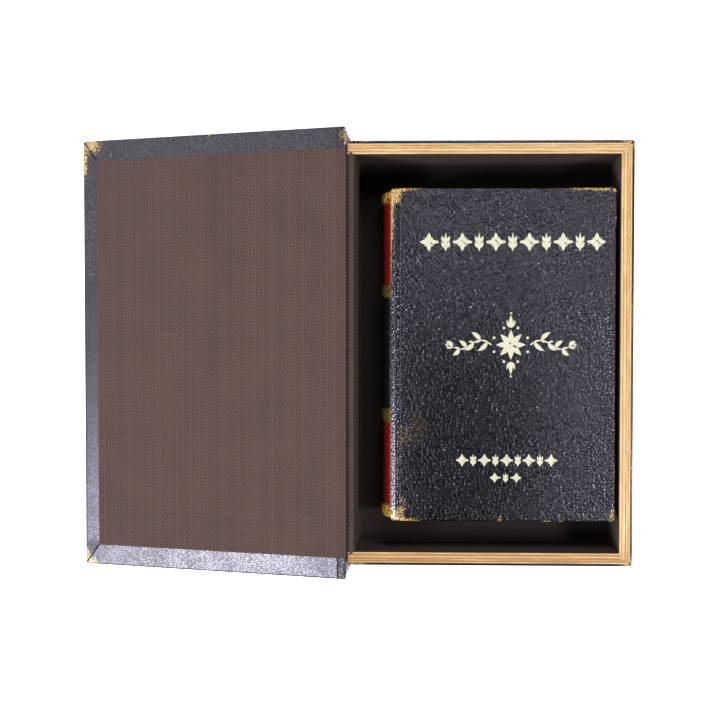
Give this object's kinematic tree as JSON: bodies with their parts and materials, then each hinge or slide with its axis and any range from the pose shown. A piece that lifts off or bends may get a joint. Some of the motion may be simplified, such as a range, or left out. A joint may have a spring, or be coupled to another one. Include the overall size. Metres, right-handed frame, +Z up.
{
  "type": "decorative book box",
  "caption": "Nesting faux-book boxes with hinged leather covers, rounded banded spines and gilt page edges, for papers and keepsakes.",
  "frame": {"origin": "centre of the large box's underside, on the surface it rests on", "axes": "+X from the spine to the fore edge, +Y to the head of the book, +Z up"},
  "size_m": [0.3497, 0.27, 0.0567],
  "materials": {
    "dark_leather": "grained, satin",
    "spine_leather": "grained, satin",
    "woven_fabric": "basket weave",
    "dark_lining": "matt",
    "gilt_paper": "soft metallic gold",
    "grey_board": "matt"
  },
  "bodies": {
    "large_tray": {"large_back_board": "grey_board", "large_back_leather": "dark_leather", "large_spine_core": "grey_board", "large_spine_leather": "spine_leather", "large_head_wall": "grey_board", "large_tail_wall": "grey_board", "large_fore_edge_wall": "grey_board", "large_spine_wall": "grey_board", "large_page_paper": "gilt_paper", "large_hinge_lining": "woven_fabric", "large_floor_board": "grey_board", "large_floor_lining": "dark_lining", "large_head_lining": "dark_lining", "large_tail_lining": "dark_lining", "large_fore_edge_lining": "dark_lining", "large_spine_lining": "dark_lining"},
    "large_cover": {"large_front_board": "grey_board", "large_front_leather": "dark_leather", "large_cover_lining": "woven_fabric"},
    "small_tray": {"small_back_board": "grey_board", "small_back_leather": "dark_leather", "small_spine_core": "grey_board", "small_spine_leather": "spine_leather", "small_head_wall": "grey_board", "small_tail_wall": "grey_board", "small_fore_edge_wall": "grey_board", "small_spine_wall": "grey_board", "small_page_paper": "gilt_paper", "small_hinge_lining": "woven_fabric", "small_floor_board": "grey_board", "small_floor_lining": "dark_lining", "small_head_lining": "dark_lining", "small_tail_lining": "dark_lining", "small_fore_edge_lining": "dark_lining", "small_spine_lining": "dark_lining"},
    "small_cover": {"small_front_board": "grey_board", "small_front_leather": "dark_leather", "small_cover_lining": "woven_fabric"}
  },
  "joints": [
    {"name": "large_cover_hinge", "type": "hinge", "parent": "large_tray", "child": "large_cover", "pos_m": [-0.08937, 0, 0.056], "axis": [0, 1, 0], "range_deg": [0, 197.08]},
    {"name": "small_box_lift", "type": "slide", "parent": "large_tray", "child": "small_tray", "axis": [0, 0, 1], "range_m": [0, 0.12]},
    {"name": "small_cover_hinge", "type": "hinge", "parent": "small_tray", "child": "small_cover", "pos_m": [-0.06198, -0.0006, 0.0475], "axis": [0, -1, 0], "range_deg": [0, 196.2]}
  ],
  "couplings": [
    {"joint": "small_cover_hinge", "follows": "small_box_lift", "rad_per_m": 28.535}
  ]
}
